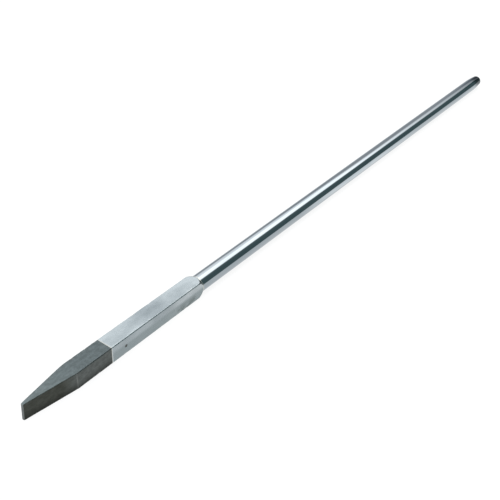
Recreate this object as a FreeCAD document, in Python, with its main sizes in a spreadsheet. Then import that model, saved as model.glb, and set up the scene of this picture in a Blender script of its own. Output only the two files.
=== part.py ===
"""Long cold chisel: a hardened bit and a round shank, brazed into the two ends of a square body.

Every piece is drawn along +X with x = 0 at the cutting edge and the bar's axis at y = z = 0.
The placement then stands the tool on its flat underside, with the origin below its mid-length.
All lengths are millimetres.
"""
import FreeCAD, Part
import Sketcher
import math
import os
import types

DIMENSIONS = [
    # alias, value, meaning
    ("overall_length", 800.0, "cutting edge to struck face"),
    ("bar_side", 16.0, "square bar across its flats, and the shank's diameter"),
    ("corner_chamfer", 0.65, "long corners of the square bar"),
    ("bit_length", 81.4, "cutting edge to the bit's rear shoulder"),
    ("blade_length", 45.8, "cutting edge to the start of the side bevels"),
    ("blade_height", 15.3, "blade's height at the cutting edge"),
    ("blade_corner", 1.6, "rounding at the two ends of the cutting edge"),
    ("edge_width", 2.5, "blade's thickness where the cutting facets start"),
    ("edge_depth", 0.8, "length of the cutting facets along the tool"),
    ("grind_step", 0.35, "step at the start of the right-hand bevel"),
    ("grind_run", 0.7, "length of that step along the tool"),
    ("bend_run", 4.0, "length of the left-hand bevel's rounded start, either way"),
    ("seam", 0.3, "braze thickness between two shoulders"),
    ("seam_chamfer", 0.35, "edge break on each side of the front seam"),
    ("body_end", 192.0, "cutting edge to the body's rear face"),
    ("shoulder_length", 5.5, "body's rounded rear shoulder, along the tool"),
    ("shoulder_radius", 14.0, "curve of that shoulder"),
    ("tang_radius", 5.0, "bit's tang and shank's spigot"),
    ("tang_length", 32.0, "bit's tang and shank's spigot"),
    ("tang_lead", 1.0, "chamfer at the end of a tang"),
    ("braze_gap", 0.1, "radial braze film round a tang"),
    ("socket_spare", 1.0, "space left at the bottom of a socket"),
    ("pin_position", 96.5, "cutting edge to the cross pin's axis"),
    ("pin_radius", 1.2, "cross pin"),
    ("pin_recess", 0.2, "cross pin's ends below the body's sides"),
    ("head_length", 27.0, "crowned taper at the struck end"),
    ("head_radius", 6.5, "struck end, before its edge is rounded"),
    ("head_edge", 1.0, "rounding of the struck face's edge"),
]


class Size:
    """A number together with the sheet expression it comes from."""

    def __init__(self, value, text):
        self.value = value
        self.text = text

    def __add__(self, other):
        other = as_size(other)
        return Size(self.value + other.value, f"({self.text} + {other.text})")

    def __sub__(self, other):
        other = as_size(other)
        return Size(self.value - other.value, f"({self.text} - {other.text})")

    def __mul__(self, other):
        other = as_size(other)
        return Size(self.value * other.value, f"({self.text} * {other.text})")

    def __truediv__(self, other):
        other = as_size(other)
        return Size(self.value / other.value, f"({self.text} / {other.text})")

    def __neg__(self):
        return Size(-self.value, f"(0 - {self.text})")

    def root(self):
        return Size(math.sqrt(self.value), f"sqrt({self.text})")


def as_size(number):
    return number if isinstance(number, Size) else Size(number, str(number))


dims = types.SimpleNamespace(**{row[0]: Size(row[1], f"dims.{row[0]}") for row in DIMENSIONS})
half = dims.bar_side / 2
outside = dims.bar_side  # clear of the metal, for the far side of a cutting outline
body_start = dims.bit_length + dims.seam
shank_start = dims.body_end + dims.seam
socket_radius = dims.tang_radius + dims.braze_gap


def make_sheet(doc):
    sheet = doc.addObject("Spreadsheet::Sheet", "dims")
    for row, (alias, value, meaning) in enumerate(DIMENSIONS, start=1):
        sheet.set(f"A{row}", str(value))
        sheet.setAlias(f"A{row}", alias)
        sheet.set(f"B{row}", meaning)
    doc.recompute()


def make_body(doc, name):
    """An empty body whose placement puts the tool's middle over the origin, lying on z = 0."""
    body = doc.addObject("PartDesign::Body", name)
    body.Label = name
    body.setExpression("Placement.Base.x", (-dims.overall_length / 2).text)
    body.setExpression("Placement.Base.z", half.text)
    return body


def own_plane(body, role):
    return [feature for feature in body.Origin.OriginFeatures if feature.Role == role][0]


def make_sketch(body, name, role, offset=None):
    """A sketch on one of the body's own planes, moved along the plane's normal by offset."""
    sketch = body.newObject("Sketcher::SketchObject", name)
    sketch.AttachmentSupport = (own_plane(body, role), [""])
    sketch.MapMode = "FlatFace"
    if offset:
        sketch.setExpression("AttachmentOffset.Base.z", offset.text)
    return sketch


def bind(sketch, size, kind, *where):
    """Adds a constraint whose value follows the sheet."""
    number = sketch.addConstraint(Sketcher.Constraint(kind, *where, size.value))
    sketch.setExpression(f"Constraints[{number}]", size.text)


def bulged_arc(start, end, radius):
    """The short arc from start to end that bulges to the left of that direction."""
    chord = end - start
    left = FreeCAD.Vector(-chord.y, chord.x, 0).normalize()
    rise = radius - math.sqrt(radius**2 - (chord.Length / 2) ** 2)
    return Part.Arc(start, (start + end) * 0.5 + left * rise, end)


def outline(sketch, corners):
    """A closed outline, bound to the sheet at every corner.

    A corner is (x, y), or (x, y, radius) where a bulged arc of that radius runs to the next corner.
    """
    corners = [tuple(as_size(number) for number in corner) for corner in corners]
    points = [FreeCAD.Vector(corner[0].value, corner[1].value, 0) for corner in corners]
    edges = []
    for corner, start, end in zip(corners, points, points[1:] + points[:1]):
        if len(corner) == 3:
            curve = bulged_arc(start, end, corner[2].value)
            first, last = 2, 1  # a sketch stores its arcs anticlockwise
        else:
            curve = Part.LineSegment(start, end)
            first, last = 1, 2
        edges.append((sketch.addGeometry(curve, False), first, last))
    for corner, edge, following in zip(corners, edges, edges[1:] + edges[:1]):
        number, first, last = edge
        join = Sketcher.Constraint("Coincident", number, last, following[0], following[1])
        sketch.addConstraint(join)
        bind(sketch, corner[0], "DistanceX", -1, 1, number, first)
        bind(sketch, corner[1], "DistanceY", -1, 1, number, first)
        if len(corner) == 3:
            bind(sketch, corner[2], "Radius", number)


def circle(sketch, x, radius):
    """A circle on the sketch's X axis."""
    centre = FreeCAD.Vector(x.value, 0, 0)
    number = sketch.addGeometry(Part.Circle(centre, FreeCAD.Vector(0, 0, 1), radius.value), False)
    bind(sketch, x, "DistanceX", -1, 1, number, 3)
    sketch.addConstraint(Sketcher.Constraint("PointOnObject", number, 3, -1))
    bind(sketch, radius, "Radius", number)


def pad(body, sketch, length, midplane=False):
    feature = body.newObject("PartDesign::Pad", f"pad_{sketch.Name}")
    feature.Profile = sketch
    feature.setExpression("Length", length.text)
    feature.Midplane = midplane
    body.Document.recompute()
    return feature


def revolve(body, sketch):
    """Turns a half profile, drawn above the sketch's X axis, round that axis."""
    feature = body.newObject("PartDesign::Revolution", f"turn_{sketch.Name}")
    feature.Profile = sketch
    feature.ReferenceAxis = (sketch, ["H_Axis"])
    feature.Angle = 360
    body.Document.recompute()
    return feature


def finish_cut(body, feature, before):
    """Recomputes, and makes sure that the feature really took metal away from the one before."""
    body.Tip = feature
    body.Document.recompute()
    if feature.Shape.Volume > before.Shape.Volume - 1e-3:
        raise RuntimeError(f"{feature.Name} cut nothing")
    return feature


def turn_away(body, sketch, before):
    feature = body.newObject("PartDesign::Groove", f"turn_{sketch.Name}")
    feature.Profile = sketch
    feature.ReferenceAxis = (sketch, ["H_Axis"])
    feature.Angle = 360
    return finish_cut(body, feature, before)


def cut_through(body, sketch, before):
    """Cuts the sketch's outline right through the piece, to both sides of the sketch."""
    feature = body.newObject("PartDesign::Pocket", f"cut_{sketch.Name}")
    feature.Profile = sketch
    feature.Midplane = True
    feature.setExpression("Length", (outside * 2).text)
    return finish_cut(body, feature, before)


def chamfer(body, base, x, size):
    """Chamfers the edges of base that lie in the plane at x."""
    names = []
    for number, edge in enumerate(base.Shape.Edges, start=1):
        if abs(edge.BoundBox.XMin - x.value) < 1e-4 and edge.BoundBox.XLength < 1e-4:
            names.append(f"Edge{number}")
    feature = body.newObject("PartDesign::Chamfer", f"chamfer_{base.Name}")
    feature.Base = (base, names)
    feature.setExpression("Size", size.text)
    return finish_cut(body, feature, base)


def bar_section(inset=0):
    """The square bar's section, with its four corners cut off."""
    flat = half - inset
    cut = flat - dims.corner_chamfer
    return [
        (cut, flat),
        (flat, cut),
        (flat, -cut),
        (cut, -flat),
        (-cut, -flat),
        (-flat, -cut),
        (-flat, cut),
        (-cut, flat),
    ]


def drill_for_pin(body, before):
    """The cross pin's hole, right through along Y."""
    hole = make_sketch(body, "pin_hole", "XZ_Plane")
    circle(hole, dims.pin_position, dims.pin_radius)
    cut_through(body, hole, before)


def make_bit(doc):
    """The hardened bit: a square block ground to a blade, with a round tang behind it."""
    body = make_body(doc, "chisel_bit")
    block = make_sketch(body, "block", "YZ_Plane")
    outline(block, bar_section())
    feature = pad(body, block, dims.bit_length)
    feature = chamfer(body, feature, dims.bit_length, dims.seam_chamfer)

    # Right-hand bevel, with the step where the grinding stopped.
    edge_half = dims.edge_width / 2
    right = make_sketch(body, "right_bevel", "XY_Plane")
    outline(right, [
        (0, 0),
        (dims.edge_depth, -edge_half),
        (dims.blade_length - dims.grind_run, dims.grind_step - half),
        (dims.blade_length, -half),
        (dims.blade_length, -outside),
        (-outside, -outside),
        (-outside, 0),
    ])
    feature = cut_through(body, right, feature)

    # Left-hand bevel, which leaves the flat side in a long curve tangent to both.
    run = dims.blade_length - dims.edge_depth
    rise = half - edge_half
    slant = (run * run + rise * rise).root()
    left = make_sketch(body, "left_bevel", "XY_Plane")
    outline(left, [
        (0, 0),
        (dims.edge_depth, edge_half),
        (
            dims.blade_length - dims.bend_run * run / slant,
            half - dims.bend_run * rise / slant,
            dims.bend_run * (slant + run) / rise,
        ),
        (dims.blade_length + dims.bend_run, half),
        (dims.blade_length + dims.bend_run, outside),
        (-outside, outside),
        (-outside, 0),
    ])
    feature = cut_through(body, left, feature)

    # The blade's top slopes down a little, and both ends of the cutting edge are rounded.
    tip_top = dims.blade_height - half
    slope = make_sketch(body, "top_slope", "XZ_Plane")
    outline(slope, [
        (0, tip_top - dims.blade_corner, dims.blade_corner),
        (dims.blade_corner, tip_top),
        (dims.blade_length, half),
        (dims.blade_length, outside),
        (-outside, outside),
        (-outside, tip_top - dims.blade_corner),
    ])
    feature = cut_through(body, slope, feature)
    heel = make_sketch(body, "bottom_corner", "XZ_Plane")
    outline(heel, [
        (dims.blade_corner, -half, dims.blade_corner),
        (0, dims.blade_corner - half),
        (-outside, dims.blade_corner - half),
        (-outside, -outside),
        (dims.blade_corner, -outside),
    ])
    cut_through(body, heel, feature)

    tang = make_sketch(body, "tang", "YZ_Plane", dims.bit_length)
    circle(tang, as_size(0), dims.tang_radius)
    feature = pad(body, tang, dims.tang_length)
    feature = chamfer(body, feature, dims.bit_length + dims.tang_length, dims.tang_lead)
    drill_for_pin(body, feature)
    return body


def make_square_body(doc):
    """The square body: bar with a socket in each end and a turned rear shoulder."""
    body = make_body(doc, "square_body")
    bar = make_sketch(body, "bar", "YZ_Plane", body_start)
    outline(bar, bar_section())
    feature = pad(body, bar, dims.body_end - body_start)
    feature = chamfer(body, feature, body_start, dims.seam_chamfer)

    flat_edge = half - dims.corner_chamfer
    corner_radius = (half * half + flat_edge * flat_edge).root()
    shoulder = make_sketch(body, "rear_shoulder", "XY_Plane")
    outline(shoulder, [
        (dims.body_end - dims.shoulder_length, corner_radius, dims.shoulder_radius),
        (dims.body_end, half),
        (dims.body_end + outside, half),
        (dims.body_end + outside, outside),
        (dims.body_end - dims.shoulder_length, outside),
    ])
    feature = turn_away(body, shoulder, feature)

    depth = dims.tang_length + dims.socket_spare
    for name, near, far in (
        ("front_socket", body_start, body_start + depth),
        ("rear_socket", dims.body_end - depth, dims.body_end),
    ):
        socket = make_sketch(body, name, "XY_Plane")
        outline(socket, [(near, 0), (far, 0), (far, socket_radius), (near, socket_radius)])
        feature = turn_away(body, socket, feature)
    drill_for_pin(body, feature)
    return body


def make_shank(doc):
    """The round shank: polished bar with a spigot in front and a crowned, tapered struck end."""
    body = make_body(doc, "round_shank")
    spigot_end = shank_start - dims.tang_length
    run = dims.head_length - dims.head_edge
    drop = half - dims.head_radius
    profile = make_sketch(body, "half_profile", "XY_Plane")
    outline(profile, [
        (spigot_end, 0),
        (spigot_end, dims.tang_radius - dims.tang_lead),
        (spigot_end + dims.tang_lead, dims.tang_radius),
        (shank_start, dims.tang_radius),
        (shank_start, half),
        (dims.overall_length - dims.head_length, half, (run * run + drop * drop) / (drop * 2)),
        (dims.overall_length - dims.head_edge, dims.head_radius, dims.head_edge),
        (dims.overall_length, dims.head_radius - dims.head_edge),
        (dims.overall_length, 0),
    ])
    revolve(body, profile)
    return body


def make_pin(doc):
    """The cross pin that locks the bit's tang in the body."""
    body = make_body(doc, "bit_pin")
    section = make_sketch(body, "pin_section", "XZ_Plane")
    circle(section, dims.pin_position, dims.pin_radius)
    pad(body, section, dims.bar_side - dims.pin_recess * 2, midplane=True)
    return body


def make_front_braze(doc):
    """The braze in front: a square film between the shoulders and a sleeve round the tang."""
    body = make_body(doc, "front_braze")
    film = make_sketch(body, "film", "YZ_Plane", dims.bit_length)
    outline(film, bar_section(dims.seam_chamfer))
    pad(body, film, dims.seam)
    sleeve = make_sketch(body, "sleeve", "YZ_Plane", body_start)
    circle(sleeve, as_size(0), socket_radius)
    feature = pad(body, sleeve, dims.tang_length - dims.seam - dims.tang_lead)
    hole = make_sketch(body, "tang_hole", "XY_Plane")
    near = dims.bit_length - dims.tang_lead
    far = dims.bit_length + dims.tang_length
    outline(hole, [(near, 0), (far, 0), (far, dims.tang_radius), (near, dims.tang_radius)])
    feature = turn_away(body, hole, feature)
    drill_for_pin(body, feature)
    return body


def make_rear_braze(doc):
    """The braze behind: a round film between the shoulders and a sleeve round the spigot."""
    body = make_body(doc, "rear_braze")
    sleeve_start = shank_start - dims.tang_length + dims.tang_lead
    profile = make_sketch(body, "ring_profile", "XY_Plane")
    outline(profile, [
        (sleeve_start, dims.tang_radius),
        (sleeve_start, socket_radius),
        (dims.body_end, socket_radius),
        (dims.body_end, half),
        (shank_start, half),
        (shank_start, dims.tang_radius),
    ])
    revolve(body, profile)
    return body


def check(doc, bodies):
    """Stops before anything is written if a feature failed or a piece isn't one sound solid."""
    for item in doc.Objects:
        if {"Invalid", "Error"} & set(item.State):
            raise RuntimeError(f"{item.Name} failed: {item.State}")
    for body in bodies:
        shape = body.Shape
        if shape.isNull() or not shape.isValid() or len(shape.Solids) != 1:
            raise RuntimeError(f"{body.Label} isn't one valid solid")
        box = shape.optimalBoundingBox()
        print(
            f"{body.Label}: {shape.Volume:.1f} mm3, x {box.XMin:.2f} to {box.XMax:.2f}, "
            f"y {box.YMin:.2f} to {box.YMax:.2f}, z {box.ZMin:.2f} to {box.ZMax:.2f}"
        )


def main():
    doc = FreeCAD.newDocument("long_cold_chisel")
    make_sheet(doc)
    makers = (make_bit, make_square_body, make_shank, make_pin, make_front_braze, make_rear_braze)
    bodies = [make(doc) for make in makers]
    doc.recompute()
    check(doc, bodies)
    os.makedirs("parts", exist_ok=True)
    for body in bodies:
        body.Shape.exportStep(f"parts/{body.Label}.step")


main()
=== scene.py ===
import math
import random

import bmesh
import bpy
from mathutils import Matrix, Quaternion, Vector, noise


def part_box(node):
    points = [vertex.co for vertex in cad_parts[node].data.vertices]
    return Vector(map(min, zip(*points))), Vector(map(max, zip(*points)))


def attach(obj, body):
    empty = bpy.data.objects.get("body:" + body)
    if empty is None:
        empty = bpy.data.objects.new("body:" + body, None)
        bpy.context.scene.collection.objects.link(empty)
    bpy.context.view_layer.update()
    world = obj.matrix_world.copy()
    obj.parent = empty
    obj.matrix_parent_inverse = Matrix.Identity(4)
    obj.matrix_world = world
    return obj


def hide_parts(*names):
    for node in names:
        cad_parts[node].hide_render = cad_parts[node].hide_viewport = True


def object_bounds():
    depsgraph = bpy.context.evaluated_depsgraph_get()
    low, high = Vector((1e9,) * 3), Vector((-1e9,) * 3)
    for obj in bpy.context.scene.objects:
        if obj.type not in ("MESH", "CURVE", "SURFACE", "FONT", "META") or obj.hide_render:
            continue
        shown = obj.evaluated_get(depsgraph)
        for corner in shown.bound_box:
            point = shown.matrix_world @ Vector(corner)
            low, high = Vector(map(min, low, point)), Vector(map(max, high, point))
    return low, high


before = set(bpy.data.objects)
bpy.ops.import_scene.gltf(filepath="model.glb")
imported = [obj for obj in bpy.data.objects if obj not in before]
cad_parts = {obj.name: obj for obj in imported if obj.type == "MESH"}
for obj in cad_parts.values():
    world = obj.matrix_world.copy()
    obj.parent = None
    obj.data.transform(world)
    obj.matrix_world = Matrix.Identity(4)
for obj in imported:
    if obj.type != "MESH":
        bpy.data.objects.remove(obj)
cad_low, cad_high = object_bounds()

# Shapes are worked out in millimetres, x from the cutting edge and y, z from the bar's axis.
# place() turns them into the frame's metres.
MM = 0.001
TIP = cad_low.x
AXIS = (cad_low.z + cad_high.z) / 2


def from_tip(x):
    return (x - TIP) / MM


HALF = (cad_high.z - cad_low.z) / 2 / MM
LENGTH = from_tip(cad_high.x)
BIT_END = from_tip(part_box("front_braze")[0].x)
BODY_START = from_tip(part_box("square_body")[0].x)
BODY_END = from_tip(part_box("square_body")[1].x)
SHANK_START = from_tip(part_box("rear_braze")[1].x)
PIN_LOW, PIN_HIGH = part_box("bit_pin")
PIN_X = from_tip((PIN_LOW.x + PIN_HIGH.x) / 2)
PIN_RADIUS = (PIN_HIGH.x - PIN_LOW.x) / 2 / MM
PIN_REACH = PIN_HIGH.y / MM

CORNER = 0.65  # the bar's corner chamfer
SEAM_CHAMFER = 0.35
BEND = 45.8  # where the side bevels start
BEND_RUN = 4.0  # the left bevel's soft curve, on each side of the bend
GRIND_STEP = 0.35  # the right bevel's grinding step: depth, then length
GRIND_RUN = 0.7
EDGE_DEPTH = 0.8  # the cutting edge's two facets
EDGE_HALF = 1.25
EDGE_LINE = 0.03  # half-width of the line where they meet
TIP_TOP = 7.3  # the blade's top at the cutting edge
TIP_DROOP = 0.35  # how far it is rolled over in its last few millimetres
TIP_CORNER = 1.6
LEAN_RUN = 6.0  # the edge's lean fades out this far in front of the bend
SHOULDER_LENGTH = 5.5
SHOULDER_CURVE = 14.0
HEAD_LENGTH = 27.0
HEAD_RADIUS = 6.5
HEAD_EDGE = 1.0
PIN_CLEARANCE = 0.12
SHARP_ANGLE = math.radians(35)

rng = random.Random(7)


# ---------------------------------------------------------------- shape tools


def place(x, y, z):
    return Vector((TIP + x * MM, y * MM, AXIS + z * MM))


def between(x, knots):
    """Straight-line interpolation through (x, value) knots."""
    if x <= knots[0][0]:
        return knots[0][1]
    for (x0, v0), (x1, v1) in zip(knots, knots[1:]):
        if x <= x1:
            return v0 + (v1 - v0) * (x - x0) / (x1 - x0)
    return knots[-1][1]


def steps(*stops):
    """Stations through (start, size), (start, size), ..., end."""
    stations = []
    ends = [stop[0] for stop in stops[1:-1]] + [stops[-1]]
    for (start, size), end in zip(stops[:-1], ends):
        count = max(1, round((end - start) / size))
        stations += [start + (end - start) * i / count for i in range(count)]
    return stations + [stops[-1]]


def lumps(x, y, z, scale, seed):
    """Smooth noise from about -1 to 1, with lumps about scale millimetres across."""
    return noise.noise(Vector((x / scale + seed, y / scale - seed, z / scale + 2 * seed)))


def make_piece(name, rings, wear, nodes):
    """Joins rings of points into one closed skin that stands for the CAD nodes."""
    size = len(rings[0])
    faces = [tuple(range(size))]
    for i in range(len(rings) - 1):
        for j in range(size):
            k = (j + 1) % size
            faces.append((i * size + j, i * size + k, (i + 1) * size + k, (i + 1) * size + j))
    last = (len(rings) - 1) * size
    faces.append(tuple(range(last, last + size)))
    mesh = bpy.data.meshes.new(name)
    mesh.from_pydata([place(*point) for ring in rings for point in ring], [], faces)
    worn = mesh.attributes.new("wear", "FLOAT", "POINT")
    worn.data.foreach_set("value", [value for ring in wear for value in ring])
    work = bmesh.new()
    work.from_mesh(mesh)
    bmesh.ops.recalc_face_normals(work, faces=work.faces)
    work.to_mesh(mesh)
    work.free()
    mesh.shade_smooth()
    mesh.set_sharp_from_angle(angle=SHARP_ANGLE)
    piece = bpy.data.objects.new(name, mesh)
    bpy.context.scene.collection.objects.link(piece)
    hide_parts(*nodes)
    return piece


# Shares of the way across a flat, with a narrow strip at both ends, and across a chamfer.
STRIP = 0.012
ACROSS = 20
FLAT = [0.0, STRIP]
FLAT += [STRIP + (1 - 2 * STRIP) * i / ACROSS for i in range(1, ACROSS)]
FLAT += [1 - STRIP, 1.0]
CHAMFER = [0.0, 0.5, 1.0]
SOFTENING = 0.2  # how much of a chamfer's size its own edges are rounded by


def bar_ring(right, left, top, bottom, cut):
    """A chamfered rectangle's (y, z, ny, nz, edge) points.

    edge is 0 on the flats, 1 on the chamfers and 0.8 on the line between them.
    """
    corners = [
        (cut - right, top),
        (left - cut, top),
        (left, top - cut),
        (left, cut - bottom),
        (left - cut, -bottom),
        (cut - right, -bottom),
        (-right, cut - bottom),
        (-right, top - cut),
    ]
    soft = SOFTENING * cut
    sides = []
    for (y0, z0), (y1, z1) in zip(corners, corners[1:] + corners[:1]):
        length = math.hypot(y1 - y0, z1 - z0)
        dy, dz = (y1 - y0) / length, (z1 - z0) / length
        start = (y0 + dy * soft, z0 + dz * soft)
        end = (y1 - dy * soft, z1 - dz * soft)
        sides.append((start, end, (-dz, dy)))
    ring = []
    for i, (start, end, normal) in enumerate(sides):
        for share in CHAMFER if i % 2 else FLAT:
            y = start[0] + (end[0] - start[0]) * share
            z = start[1] + (end[1] - start[1]) * share
            ring.append((y, z, normal[0], normal[1], float(i % 2)))
        corner = corners[(i + 1) % 8]
        beyond, _, turned = sides[(i + 1) % 8]
        y = corner[0] / 2 + (end[0] + beyond[0]) / 4
        z = corner[1] / 2 + (end[1] + beyond[1]) / 4
        out = Vector((normal[0] + turned[0], normal[1] + turned[1])).normalized()
        ring.append((y, z, out.x, out.y, 0.8))
    return ring


def near_corner():
    """A coordinate on one side of the bar or the other, within its corner's reach."""
    return rng.choice((-1, 1)) * (HALF - rng.uniform(0, 0.7))


def dents_on_corners(count, start, end):
    """Small knocks on the bar's long corners, as (point, radius, depth)."""
    dents = []
    for _ in range(count):
        corner = (near_corner(), near_corner())
        point = Vector((rng.uniform(start, end), *corner))
        dents.append((point, rng.uniform(0.5, 1.6), rng.uniform(0.05, 0.2)))
    return dents


def dent_at(dents, x, y, z):
    """(depth, wear) of the knocks at a point."""
    depth = 0.0
    worn = 0.0
    for point, radius, deep in dents:
        if abs(point.x - x) < 2.5 * radius:
            strength = math.exp(-((point - Vector((x, y, z))).length / radius) ** 2)
            depth += deep * strength
            worn = max(worn, strength)
    return depth, worn


# ---------------------------------------------------------------- chisel bit

slope = (HALF - EDGE_HALF) / (BEND - EDGE_DEPTH)
bend_radius = BEND_RUN / math.tan(math.atan(slope) / 2)
tip_knots = [(0.0, EDGE_LINE), (EDGE_DEPTH, EDGE_HALF)]
seam_knots = [(BIT_END - SEAM_CHAMFER, HALF), (BIT_END, HALF - SEAM_CHAMFER)]
right_knots = [
    *tip_knots,
    (BEND - GRIND_RUN, HALF - GRIND_STEP),
    (BEND - 0.12, HALF - 0.05),
    (BEND + 0.1, HALF),
    *seam_knots,
]


def bit_left(x):
    """The left side's half-thickness: a straight bevel and a flat, joined by one long curve."""
    past = BEND + BEND_RUN - x
    if past <= 0:
        return between(x, seam_knots)
    if x <= EDGE_DEPTH:
        return between(x, tip_knots)
    if x < BEND - BEND_RUN:
        return EDGE_HALF + slope * (x - EDGE_DEPTH)
    return HALF - bend_radius + math.sqrt(bend_radius**2 - past**2)


def bit_height(x, at_tip, droop):
    """The height above or below the axis: a rounded corner, then on to the full bar."""
    if x < TIP_CORNER:
        drop = TIP_CORNER - x
        height = at_tip - TIP_CORNER + math.sqrt(max(0.0, TIP_CORNER**2 - drop**2))
    else:
        height = between(x, [(TIP_CORNER, at_tip), (BEND, HALF)])
    height -= droop * max(0.0, 1 - x / 6) ** 2
    return min(height, between(x, seam_knots))


def bit_section(x):
    right = between(x, right_knots)
    left = bit_left(x)
    cut = between(x, [(0, 0.1), (2, 0.28), (40, 0.34), (BEND, 0.5), (BEND + 3, CORNER)])
    top = bit_height(x, TIP_TOP, TIP_DROOP)
    bottom = bit_height(x, HALF, 0.0)
    return right, left, top, bottom, min(cut, 0.3 * min(right, left))


def bit_surface(x, y, z, ny, nz, edge):
    """The bit's real surface at a point: (x, y, z, wear); the wear values also carry painted
    highlights on the cutting edge and the grinding step.
    """
    thin = min(1.0, (x + 0.2) / 6)
    out = (0.045 * lumps(x, y, z, 13, 1) + 0.022 * lumps(x, y, z, 3.2, 5)) * thin
    out -= edge * 0.05 * max(0.0, lumps(x, y, z, 2.2, 8)) * thin
    depth, worn = dent_at(bit_dents, x, y, z)
    out -= depth
    chipped = max(0.0, lumps(0, 0, z, 1.3, 9) - 0.05) * 0.35 + 0.04 * lumps(0, 0, z, 0.5, 4)
    shift = chipped * max(0.0, 1 - x / 1.4)
    # The cutting edge leans: its lower end stands a little further forward.
    shift += (0.5 * z / HALF - 0.4) * max(0.0, 1 - x / (BEND - LEAN_RUN))
    wear = max(worn, 0.35 * edge * (0.6 + lumps(x, y, z, 5, 2)))
    # The cutting edge's facets are worn bare, and lightened further as a painted highlight where
    # they face the front.
    if x < EDGE_DEPTH + 0.15:
        wear = 0.75 + 0.4 * lumps(x, y, z, 0.8, 3)
    # Painted highlight: the grinding step on the right bevel is lightened into a bright line.
    if ny < -0.6 and BEND - GRIND_RUN - 0.1 < x < BEND + 0.15:
        wear = 0.42 + 0.3 * lumps(x, y, z, 4, 6)
    if x > BIT_END - SEAM_CHAMFER - 0.05:
        wear = max(wear, 0.6)
    return x + shift, y + out * ny, z + out * nz, wear


def loft_bar(name, stations, section, surface, nodes):
    """Skins the bar through its sections; surface() moves each point and gives its wear."""
    rings = []
    wear = []
    for x in stations:
        points = [surface(x, *point) for point in bar_ring(*section(x))]
        rings.append([point[:3] for point in points])
        wear.append([min(1.0, max(0.0, point[3])) for point in points])
    return make_piece(name, rings, wear, nodes)


bit_dents = dents_on_corners(10, 52, 79)
bit = loft_bar(
    "ground_bit",
    steps(
        (0.0, 0.1), (0.8, 0.2), (3.0, 0.5), (BEND - 1, 0.2), (BEND + 1, 0.5),
        (BIT_END - 1, 0.2), (BIT_END - SEAM_CHAMFER, 0.12), BIT_END,
    ),
    bit_section,
    bit_surface,
    ["chisel_bit"],
)

# ---------------------------------------------------------------- square body

corner_reach = math.hypot(HALF, HALF - CORNER)
chord = Vector((SHOULDER_LENGTH, HALF - corner_reach))
sagitta = SHOULDER_CURVE - math.sqrt(SHOULDER_CURVE**2 - (chord.length / 2) ** 2)
outward = Vector((-chord.y, chord.x)).normalized()
curve_centre = Vector((BODY_END - SHOULDER_LENGTH / 2, (corner_reach + HALF) / 2))
curve_centre -= outward * (SHOULDER_CURVE - sagitta)


def shoulder_radius(x):
    """Radius of the turned rear shoulder, larger than the bar ahead of it."""
    if x < BODY_END - SHOULDER_LENGTH:
        return 2 * HALF
    along = x - curve_centre.x
    return curve_centre.y + math.sqrt(SHOULDER_CURVE**2 - along**2)


def body_section(x):
    half = between(x, [(BODY_START, HALF - SEAM_CHAMFER), (BODY_START + SEAM_CHAMFER, HALF)])
    return half, half, half, half, CORNER


def soft_limit(value, limit):
    """The smaller of the two, with their meeting line slightly rounded."""
    blur = 0.04
    low, high = min(value, limit), max(value, limit)
    return low - blur * math.log1p(math.exp((low - high) / blur))


body_dents = dents_on_corners(22, BODY_START + 2, BODY_END - 5)


def body_surface(x, y, z, ny, nz, edge):
    """The body's real surface at a point: (x, y, z, wear)."""
    depth, wear = dent_at(body_dents, x, y, z)
    out = 0.02 * lumps(x, y, z, 22, 3) + 0.008 * lumps(x, y, z, 5, 6) - depth
    out -= edge * 0.03 * max(0.0, lumps(x, y, z, 2.5, 7))
    y, z = y + out * ny, z + out * nz
    radius = math.hypot(y, z)
    limit = shoulder_radius(x)
    if radius > limit - 0.5:
        shrink = soft_limit(radius, limit) / radius
        y, z = y * shrink, z * shrink
        wear = max(wear, 0.35 if radius > limit else 0.0)
    if x < BODY_START + SEAM_CHAMFER + 0.05:
        wear = max(wear, 0.7)
    wear = max(wear, 0.3 * edge * (0.5 + lumps(x, y, z, 4, 2)))
    return x, y, z, wear


def lathe(name, profile, segments, nodes, axis="x", shift=None, wear=None):
    """Turns (along, radius) points round the tool's axis, or the cross pin's with axis="y"."""
    rings = []
    worn = []
    for along, radius in profile:
        ring = []
        values = []
        for i in range(segments):
            angle = 2 * math.pi * i / segments
            a, b = radius * math.cos(angle), radius * math.sin(angle)
            moved = shift(along, a, b) if shift else 0.0
            ring.append((along + moved, a, b) if axis == "x" else (PIN_X + a, along + moved, b))
            values.append(wear(along, a, b) if wear else 0.0)
        rings.append(ring)
        worn.append(values)
    return make_piece(name, rings, worn, nodes)


def drill(piece, radius):
    """Cuts the cross pin's hole through the body."""
    bpy.ops.mesh.primitive_cylinder_add(
        vertices=48,
        radius=radius * MM,
        depth=4 * HALF * MM,
        location=place(PIN_X, 0, 0),
        rotation=(math.pi / 2, 0, 0),
    )
    cutter = bpy.context.object
    cut = piece.modifiers.new("pin_hole", "BOOLEAN")
    cut.operation = "DIFFERENCE"
    cut.solver = "EXACT"
    cut.object = cutter
    evaluated = piece.evaluated_get(bpy.context.evaluated_depsgraph_get())
    drilled = bpy.data.meshes.new_from_object(evaluated)
    piece.modifiers.remove(cut)
    piece.data = drilled
    drilled.set_sharp_from_angle(angle=SHARP_ANGLE)
    bpy.data.objects.remove(cutter)


body = loft_bar(
    "body_bar",
    steps(
        (BODY_START, 0.12), (BODY_START + SEAM_CHAMFER, 0.3), (BODY_START + 1, 0.55),
        (BODY_END - SHOULDER_LENGTH - 1, 0.22), BODY_END,
    ),
    body_section,
    body_surface,
    ["square_body"],
)
drill(body, PIN_RADIUS + PIN_CLEARANCE)

# ---------------------------------------------------------------- shank, pin and braze

head_run = HEAD_LENGTH - HEAD_EDGE
head_drop = HALF - HEAD_RADIUS
head_curve = (head_run**2 + head_drop**2) / (2 * head_drop)
head_start = LENGTH - HEAD_LENGTH

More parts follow.
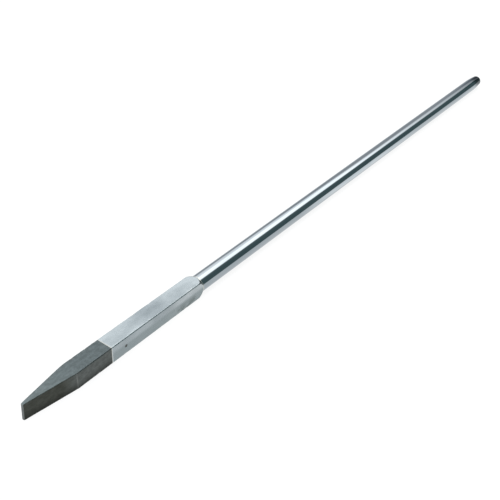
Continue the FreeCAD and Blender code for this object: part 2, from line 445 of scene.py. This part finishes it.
shank_profile = [
    (SHANK_START - 0.4, HALF - 0.6),
    (SHANK_START - 0.4, HALF - 0.12),
    (SHANK_START, HALF),
]
shank_profile += [(x, HALF) for x in steps((SHANK_START + 1, 12), head_start)]
for x in steps((head_start + 1, 1.5), LENGTH - HEAD_EDGE):
    along = x - head_start
    shank_profile.append((x, HALF - head_curve + math.sqrt(head_curve**2 - along**2)))
EDGE_POINTS = 8
for i in range(1, EDGE_POINTS + 1):
    angle = math.radians(90 * i / EDGE_POINTS)
    shank_profile.append((
        LENGTH - HEAD_EDGE + HEAD_EDGE * math.sin(angle),
        HEAD_RADIUS - HEAD_EDGE + HEAD_EDGE * math.cos(angle),
    ))
shank_profile += [(LENGTH, radius) for radius in (5.0, 4.4, 3.8, 3.2, 2.6, 2.0, 1.4, 0.8, 0.3)]


def hammer_marks(along, y, z):
    """Shallow flats and pits that blows have left on the struck face."""
    if along < LENGTH - 0.6:
        return 0.0
    return -0.09 - 0.09 * lumps(0, y, z, 3.4, 2) - 0.05 * lumps(0, y, z, 1.2, 5)


def shank_wear(along, y, z):
    """Only the struck end is worn."""
    if along > LENGTH - 1.2:
        return 0.6 + 0.3 * lumps(along, y, z, 1.5, 1)
    return 0.0


shank = lathe(
    "polished_shank",
    shank_profile,
    160,
    ["round_shank"],
    shift=hammer_marks,
    wear=shank_wear,
)

pin_profile = [
    (-PIN_REACH - 0.05, 0.3),
    (-PIN_REACH - 0.03, 0.7),
    (-PIN_REACH + 0.03, PIN_RADIUS - 0.12),
    (-PIN_REACH + 0.15, PIN_RADIUS),
]
pin_profile += [(-along, radius) for along, radius in reversed(pin_profile)]
pin = lathe("dressed_pin", pin_profile, 40, ["bit_pin"], axis="y")

seam_middle = (BIT_END + BODY_START) / 2


def seam_section(x):
    """The braze stands a little proud of the two seam chamfers, most in the middle."""
    half = HALF - SEAM_CHAMFER + 0.16 - 0.5 * abs(x - seam_middle)
    return half, half, half, half, CORNER


def seam_surface(x, y, z, ny, nz, edge):
    out = 0.05 * lumps(x, y, z, 1.6, 4)
    return x, y + out * ny, z + out * nz, 0.0


seam = loft_bar(
    "seam_braze",
    steps((BIT_END - 0.2, 0.06), BODY_START + 0.2),
    seam_section,
    seam_surface,
    ["front_braze"],
)

bead_profile = [
    (BODY_END - 0.5, HALF - 1.2),
    (BODY_END - 0.45, HALF - 0.3),
    (BODY_END, HALF + 0.02),
    (SHANK_START + 0.1, HALF + 0.03),
    (SHANK_START + 0.5, HALF + 0.01),
    (SHANK_START + 0.6, HALF - 0.5),
]
bead = lathe("shoulder_braze", bead_profile, 96, ["rear_braze"])

# ---------------------------------------------------------------- materials


class Nodes:
    """Short calls that add shader nodes to a tree."""

    def __init__(self, tree):
        self.tree = tree
        self.tree.nodes.clear()

    def add(self, kind, inputs, output=0, **settings):
        node = self.tree.nodes.new("ShaderNode" + kind)
        for key, value in settings.items():
            setattr(node, key, value)
        for key, value in inputs.items():
            if isinstance(value, bpy.types.NodeSocket):
                self.tree.links.new(value, node.inputs[key])
            else:
                node.inputs[key].default_value = value
        return node.outputs[output] if node.outputs else None

    def ramp(self, value, low, high, start=0.0, end=1.0, kind="SMOOTHSTEP"):
        """Carries low..high to start..end."""
        inputs = {0: value, 1: low, 2: high, 3: start, 4: end}
        return self.add("MapRange", inputs, interpolation_type=kind)

    def calc(self, operation, a, b=0.0):
        return self.add("Math", {0: a, 1: b}, operation=operation)

    def times(self, a, b):
        return self.calc("MULTIPLY", a, b)

    def colours(self, blend, amount, colour_a, colour_b):
        inputs = {0: amount, 6: opaque(colour_a), 7: opaque(colour_b)}
        return self.add("Mix", inputs, 2, data_type="RGBA", blend_type=blend)


def opaque(colour):
    return colour if isinstance(colour, bpy.types.NodeSocket) else (*colour, 1.0)


class Material(Nodes):
    """A material whose patterns are sized in millimetres."""

    def __init__(self, name):
        self.material = bpy.data.materials.new(name)
        self.material.use_nodes = True
        super().__init__(self.material.node_tree)

    def position(self, scale=(1.0, 1.0, 1.0), turn=0.0):
        """The point on the surface in the frame's millimetres, times scale."""
        point = self.add("TexCoord", {}, "Object")
        size = [share / MM for share in scale]
        return self.add("Mapping", {"Vector": point, "Scale": size, "Rotation": (0, turn, turn)})

    def noise(self, scale, size, detail=3.0, turn=0.0):
        """Noise from 0 to 1, with lumps about size millimetres across before scale."""
        where = self.position(scale, turn)
        return self.add("TexNoise", {"Vector": where, "Scale": 1 / size, "Detail": detail})

    def mix(self, amount, colour_a, colour_b):
        return self.colours("MIX", amount, colour_a, colour_b)

    def wear(self):
        return self.add("Attribute", {}, "Fac", attribute_name="wear")

    def facing(self, axis):
        """How far the surface faces along one of the frame's axes, from -1 to 1."""
        normal = self.add("NewGeometry", {}, "Normal")
        return self.add("SeparateXYZ", {0: normal}, axis)

    def sideways(self):
        """How far it faces to either side, from 0 to 1."""
        return self.calc("ABSOLUTE", self.facing(1))

    def along(self, axis):
        return self.add("SeparateXYZ", {0: self.position()}, axis)

    def stretch(self, start, full, fade, end):
        """1 between full and fade along the tool, and 0 outside start and end."""
        rise = self.ramp(self.along(0), start, full)
        return self.times(rise, self.ramp(self.along(0), fade, end, 1, 0))

    def metal(self, colour, roughness, height, depth):
        """Bare metal whose surface rises by up to depth millimetres with height."""
        bump = self.add("Bump", {"Height": height, "Distance": depth * MM, "Strength": 1.0})
        inputs = {"Base Color": colour, "Metallic": 1.0, "Roughness": roughness, "Normal": bump}
        shader = self.add("BsdfPrincipled", inputs)
        self.add("OutputMaterial", {"Surface": shader})
        return self.material


def shank_material():
    m = Material("polished_steel")
    cloud = m.ramp(m.noise((0.1, 1, 1), 6), 0.35, 0.65)
    colour = m.mix(cloud, (0.39, 0.43, 0.455), (0.43, 0.465, 0.485))
    colour = m.mix(m.wear(), colour, (0.3, 0.3, 0.3))
    lines = m.noise((3, 0.15, 0.15), 0.5, 4)
    roughness = m.ramp(lines, 0.3, 0.75, 0.05, 0.11)
    roughness = m.calc("ADD", roughness, m.times(m.wear(), 0.3))
    return m.metal(colour, roughness, lines, 0.0006)


def body_material():
    m = Material("milled_steel")
    brushed = m.noise((0.04, 1, 1), 0.25, 4)
    cloud = m.ramp(m.noise((0.5, 1, 1), 14, 4), 0.36, 0.66)
    colour = m.mix(cloud, (0.33, 0.37, 0.385), (0.44, 0.485, 0.5))
    # The top is greyer half-way along.
    upward = m.ramp(m.facing(2), 0.6, 0.9)
    greyer = m.mix(cloud, (0.25, 0.285, 0.3), (0.35, 0.39, 0.41))
    colour = m.mix(m.times(m.stretch(-292, -272, -262, -244), upward), colour, greyer)
    # The right-hand side is brighter towards the rear, and darker in its lower half with painted
    # shade: the floor's shadow as that side would reflect it.
    side = m.ramp(m.facing(1), -0.9, -0.5, 1, 0)
    rear = m.times(m.ramp(m.along(0), -262, -240), side)
    colour = m.mix(rear, colour, m.mix(cloud, (0.45, 0.49, 0.5), (0.58, 0.62, 0.63)))
    # Painted shade: the lower half of that side is darkened.
    painted_lower_shade = m.times(m.ramp(m.along(2), 7.5, 11.5, 1, 0), side)
    colour = m.mix(m.times(painted_lower_shade, 0.75), colour, (0.27, 0.315, 0.32))
    # Painted shade in patches, low on the same side and towards the rear: the floor's shadow as
    # that side would reflect it.
    low = m.ramp(m.along(2), 3, 10, 1, 0)
    patchy = m.ramp(m.noise((0.6, 1, 1), 5, 4), 0.35, 0.6)
    # Painted shade, patchy, low on the right-hand side.
    painted_shade_patch = m.times(m.stretch(-252, -238, -222, -210), m.times(low, side))
    colour = m.mix(m.times(painted_shade_patch, patchy), colour, (0.2, 0.235, 0.23))
    # Scratches along and across, worn spots, and bright corners.
    lengthwise = m.ramp(m.noise((0.12, 6, 6), 2.4, 2, 0.35), 0.66, 0.72)
    crosswise = m.ramp(m.noise((5, 0.2, 0.2), 2.2, 2, 0.5), 0.67, 0.73)
    scratches = m.calc("MAXIMUM", lengthwise, crosswise)
    colour = m.mix(m.times(scratches, 0.35), colour, (0.58, 0.61, 0.62))
    colour = m.mix(m.times(m.wear(), 0.6), colour, (0.6, 0.62, 0.62))
    turned = m.sideways()
    corner = m.times(m.ramp(turned, 0.2, 0.4), m.ramp(turned, 0.75, 0.95, 1, 0))
    colour = m.mix(corner, colour, (0.62, 0.66, 0.67))
    roughness = m.ramp(brushed, 0.25, 0.75, 0.2, 0.38)
    height = m.calc("SUBTRACT", brushed, m.times(scratches, 0.5))
    return m.metal(colour, roughness, height, 0.004)


def bit_material():
    m = Material("heat_darkened_steel")
    grain = m.noise((1, 1, 1), 0.45, 4)
    streaks = m.noise((0.12, 1, 1), 0.5, 4)
    mottle = m.ramp(m.noise((0.6, 1, 1), 2.6, 6), 0.32, 0.7)
    mottle = m.calc("ADD", m.times(mottle, 0.6), m.times(streaks, 0.4))
    # The top is paler towards the cutting edge.
    colour = m.mix(mottle, (0.09, 0.108, 0.109), (0.145, 0.172, 0.178))
    paler = m.mix(mottle, (0.112, 0.134, 0.133), (0.18, 0.213, 0.218))
    colour = m.mix(m.ramp(m.along(0), -385, -340, 1, 0), colour, paler)
    # The flat sides are duller than the top, and the ground bevels browner and darker again.
    sideways = m.ramp(m.sideways(), 0.6, 0.9)
    colour = m.mix(sideways, colour, m.mix(mottle, (0.1, 0.108, 0.101), (0.162, 0.174, 0.165)))
    bevel = m.times(m.ramp(m.along(0), -369, -352, 1, 0), sideways)
    colour = m.mix(bevel, colour, m.mix(mottle, (0.052, 0.055, 0.045), (0.09, 0.094, 0.08)))
    # Painted shade: the sides are darker towards the bottom.
    low = m.times(m.ramp(m.along(2), 0.5, 8.5, 1, 0), sideways)
    colour = m.mix(m.times(low, 0.7), colour, (0.022, 0.024, 0.02))
    # Worn metal is lighter; on the cutting edge and the grinding step this also paints a
    # highlight.
    worn = m.times(m.wear(), m.ramp(grain, 0.3, 0.6, 0.6, 1.0))
    colour = m.mix(worn, colour, (0.27, 0.275, 0.265))
    roughness = m.ramp(grain, 0.3, 0.7, 0.4, 0.58)
    marks = m.noise((1.6, 0.3, 0.12), 0.6, 3)
    height = m.calc("ADD", grain, m.times(marks, 0.8))
    return m.metal(colour, roughness, height, 0.03)


def pin_material():
    m = Material("pin_steel")
    grain = m.noise((1, 1, 1), 0.4, 3)
    colour = m.mix(grain, (0.1, 0.1, 0.09), (0.2, 0.2, 0.19))
    return m.metal(colour, m.ramp(grain, 0.3, 0.7, 0.3, 0.5), grain, 0.01)


def braze_material():
    m = Material("silver_braze")
    grain = m.noise((1, 1, 1), 0.7, 3)
    colour = m.mix(grain, (0.55, 0.55, 0.5), (0.72, 0.71, 0.65))
    return m.metal(colour, m.ramp(grain, 0.3, 0.7, 0.22, 0.4), grain, 0.012)


finishes = {
    bit: bit_material(),
    body: body_material(),
    shank: shank_material(),
    pin: pin_material(),
    seam: braze_material(),
    bead: braze_material(),
}
for piece, material in finishes.items():
    piece.data.materials.clear()
    piece.data.materials.append(material)
    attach(piece, "root")

# ---------------------------------------------------------------- studio

FLOOR_REACH = 30.0
FLOOR_GAP = 0.0001  # keeps the tool's underside clear of the floor

floor_mesh = bpy.data.meshes.new("floor")
square = ((-1, -1), (1, -1), (1, 1), (-1, 1))
floor_mesh.from_pydata(
    [(x * FLOOR_REACH, y * FLOOR_REACH, cad_low.z - FLOOR_GAP) for x, y in square],
    [],
    [(0, 1, 2, 3)],
)
floor = bpy.data.objects.new("floor", floor_mesh)
bpy.context.scene.collection.objects.link(floor)
table = Material("light_table")
grey = table.add("BsdfDiffuse", {"Color": (0.14, 0.14, 0.14, 1)})
glow = table.add("Emission", {"Color": (1, 1, 1, 1), "Strength": 0.9})
table.add("OutputMaterial", {"Surface": table.add("AddShader", {0: grey, 1: glow})})
floor_mesh.materials.append(table.material)
floor.visible_glossy = False  # the studio below holds the table's reflection

# The studio's light, by angle round the tool's long axis: 0 overhead, 90 the horizon in front of
# the tool, -90 the one behind it, and beyond those the table.
ROOM = [
    (-180, (0.8, 0.82, 0.84)),
    (-99, (0.9, 0.92, 0.94)),
    (-93, (0.42, 0.45, 0.48)),
    (-63, (0.42, 0.45, 0.49)),
    (13, (0.48, 0.5, 0.52)),
    (22, (0.28, 0.32, 0.34)),
    (30, (0.12, 0.17, 0.18)),
    (57, (0.09, 0.14, 0.15)),
    (91, (0.09, 0.14, 0.15)),
    (97, (0.84, 0.88, 0.9)),
    (147, (0.84, 0.86, 0.88)),
    (180, (0.8, 0.82, 0.84)),
]
# A pale wall behind the tool, lit down to a slanting edge.
WALL = [(-81, 0.0), (-65, 0.4), (-48, 0.85), (-28, 1.05), (-15, 0.95), (-7, 0.25), (-1, 0.0)]
WALL_EDGE = (0.775, 0.333)  # the slant: shares of x and y against z
# A long softbox overhead that is dimmer towards the struck end.
SOFTBOX = [(-31, 0.0), (-21, 0.5), (-11, 1.25), (-3, 1.7), (16, 1.75), (22, 0.5), (26, 0.0)]
# A brighter patch of the table.
PATCH = [(90, 0.0), (97, 0.4), (147, 0.4), (175, 0.0)]
# The light missing overhead beyond the end of the softbox.
BEYOND = [(-70, 0.0), (-45, 0.3), (20, 0.32), (40, 0.0)]
RAMP_TOP = 2.0  # a colour ramp holds 0 to 1, so levels are stored as shares of this

world = bpy.data.worlds.new("studio")
bpy.context.scene.world = world
world.use_nodes = True
sky = Nodes(world.node_tree)
direction = sky.add("TexCoord", {}, "Generated")
x_part, y_part, z_part = sky.add("SeparateXYZ", {0: direction}).node.outputs
angle_round = sky.calc("ARCTAN2", sky.times(y_part, -1.0), z_part)
turn_share = sky.ramp(angle_round, -math.pi, math.pi, kind="LINEAR")


def by_angle(stops):
    """The light at this angle round the tool, from a list of (degrees, level or colour)."""
    bands = sky.add("ValToRGB", {"Fac": turn_share})
    elements = bands.node.color_ramp.elements
    elements.remove(elements[1])
    for i, (degrees, level) in enumerate(stops):
        colour = level if isinstance(level, tuple) else (level,) * 3
        element = elements[0] if i == 0 else elements.new((degrees + 180) / 360)
        element.position = (degrees + 180) / 360
        element.color = (*[c / RAMP_TOP for c in colour], 1)
    return bands


def dimmed(value, level):
    grey = sky.add("CombineXYZ", {"X": level, "Y": level, "Z": level})
    return sky.colours("MULTIPLY", 1.0, value, grey)


across = sky.calc("SUBTRACT", sky.times(x_part, WALL_EDGE[0]), sky.times(y_part, WALL_EDGE[1]))
lit_wall = sky.ramp(sky.calc("SUBTRACT", across, z_part), -0.11, 0.0, 1, 0)
dimming = sky.ramp(x_part, 0.785, 0.885, 1.0, 0.15, kind="LINEAR")
patch = sky.times(sky.ramp(x_part, 0.72, 0.765), sky.ramp(x_part, 0.8, 0.85, 1, 0.15))
beyond = sky.ramp(x_part, 0.872, 0.881)
far_end = sky.ramp(x_part, 0.885, 0.93, 1, 0.35)
total = sky.colours("ADD", 1.0, by_angle(ROOM), dimmed(by_angle(WALL), lit_wall))
total = sky.colours("ADD", 1.0, total, dimmed(by_angle(SOFTBOX), dimming))
total = sky.colours("ADD", 1.0, total, dimmed(by_angle(PATCH), patch))
total = sky.colours("SUBTRACT", 1.0, total, dimmed(by_angle(BEYOND), beyond))
light = sky.add("Background", {"Color": dimmed(total, far_end), "Strength": RAMP_TOP})
white = sky.add("Background", {"Color": (1, 1, 1, 1), "Strength": 1.0})
seen = sky.add("LightPath", {}, "Is Camera Ray")
sky.add("OutputWorld", {"Surface": sky.add("MixShader", {0: seen, 1: light, 2: white})})

CAMERA_PLACE = (-0.6246, -0.3452, 0.4262)
CAMERA_AIM = (0.67176, 0.46751, -0.57460)
CAMERA_ROLL = math.radians(3.157)

camera_data = bpy.data.cameras.new("camera")
camera_data.lens = 56.17
camera_data.sensor_width = 36.0
camera_data.clip_start = 0.01
camera_data.shift_x = -0.0006
camera_data.shift_y = 0.0009
camera = bpy.data.objects.new("camera", camera_data)
bpy.context.scene.collection.objects.link(camera)
camera.location = CAMERA_PLACE
camera.rotation_mode = "QUATERNION"
level_view = Vector(CAMERA_AIM).to_track_quat("-Z", "Y")
camera.rotation_quaternion = level_view @ Quaternion((0, 0, 1), CAMERA_ROLL)
bpy.context.scene.camera = camera
bpy.context.scene.view_settings.view_transform = "Standard"
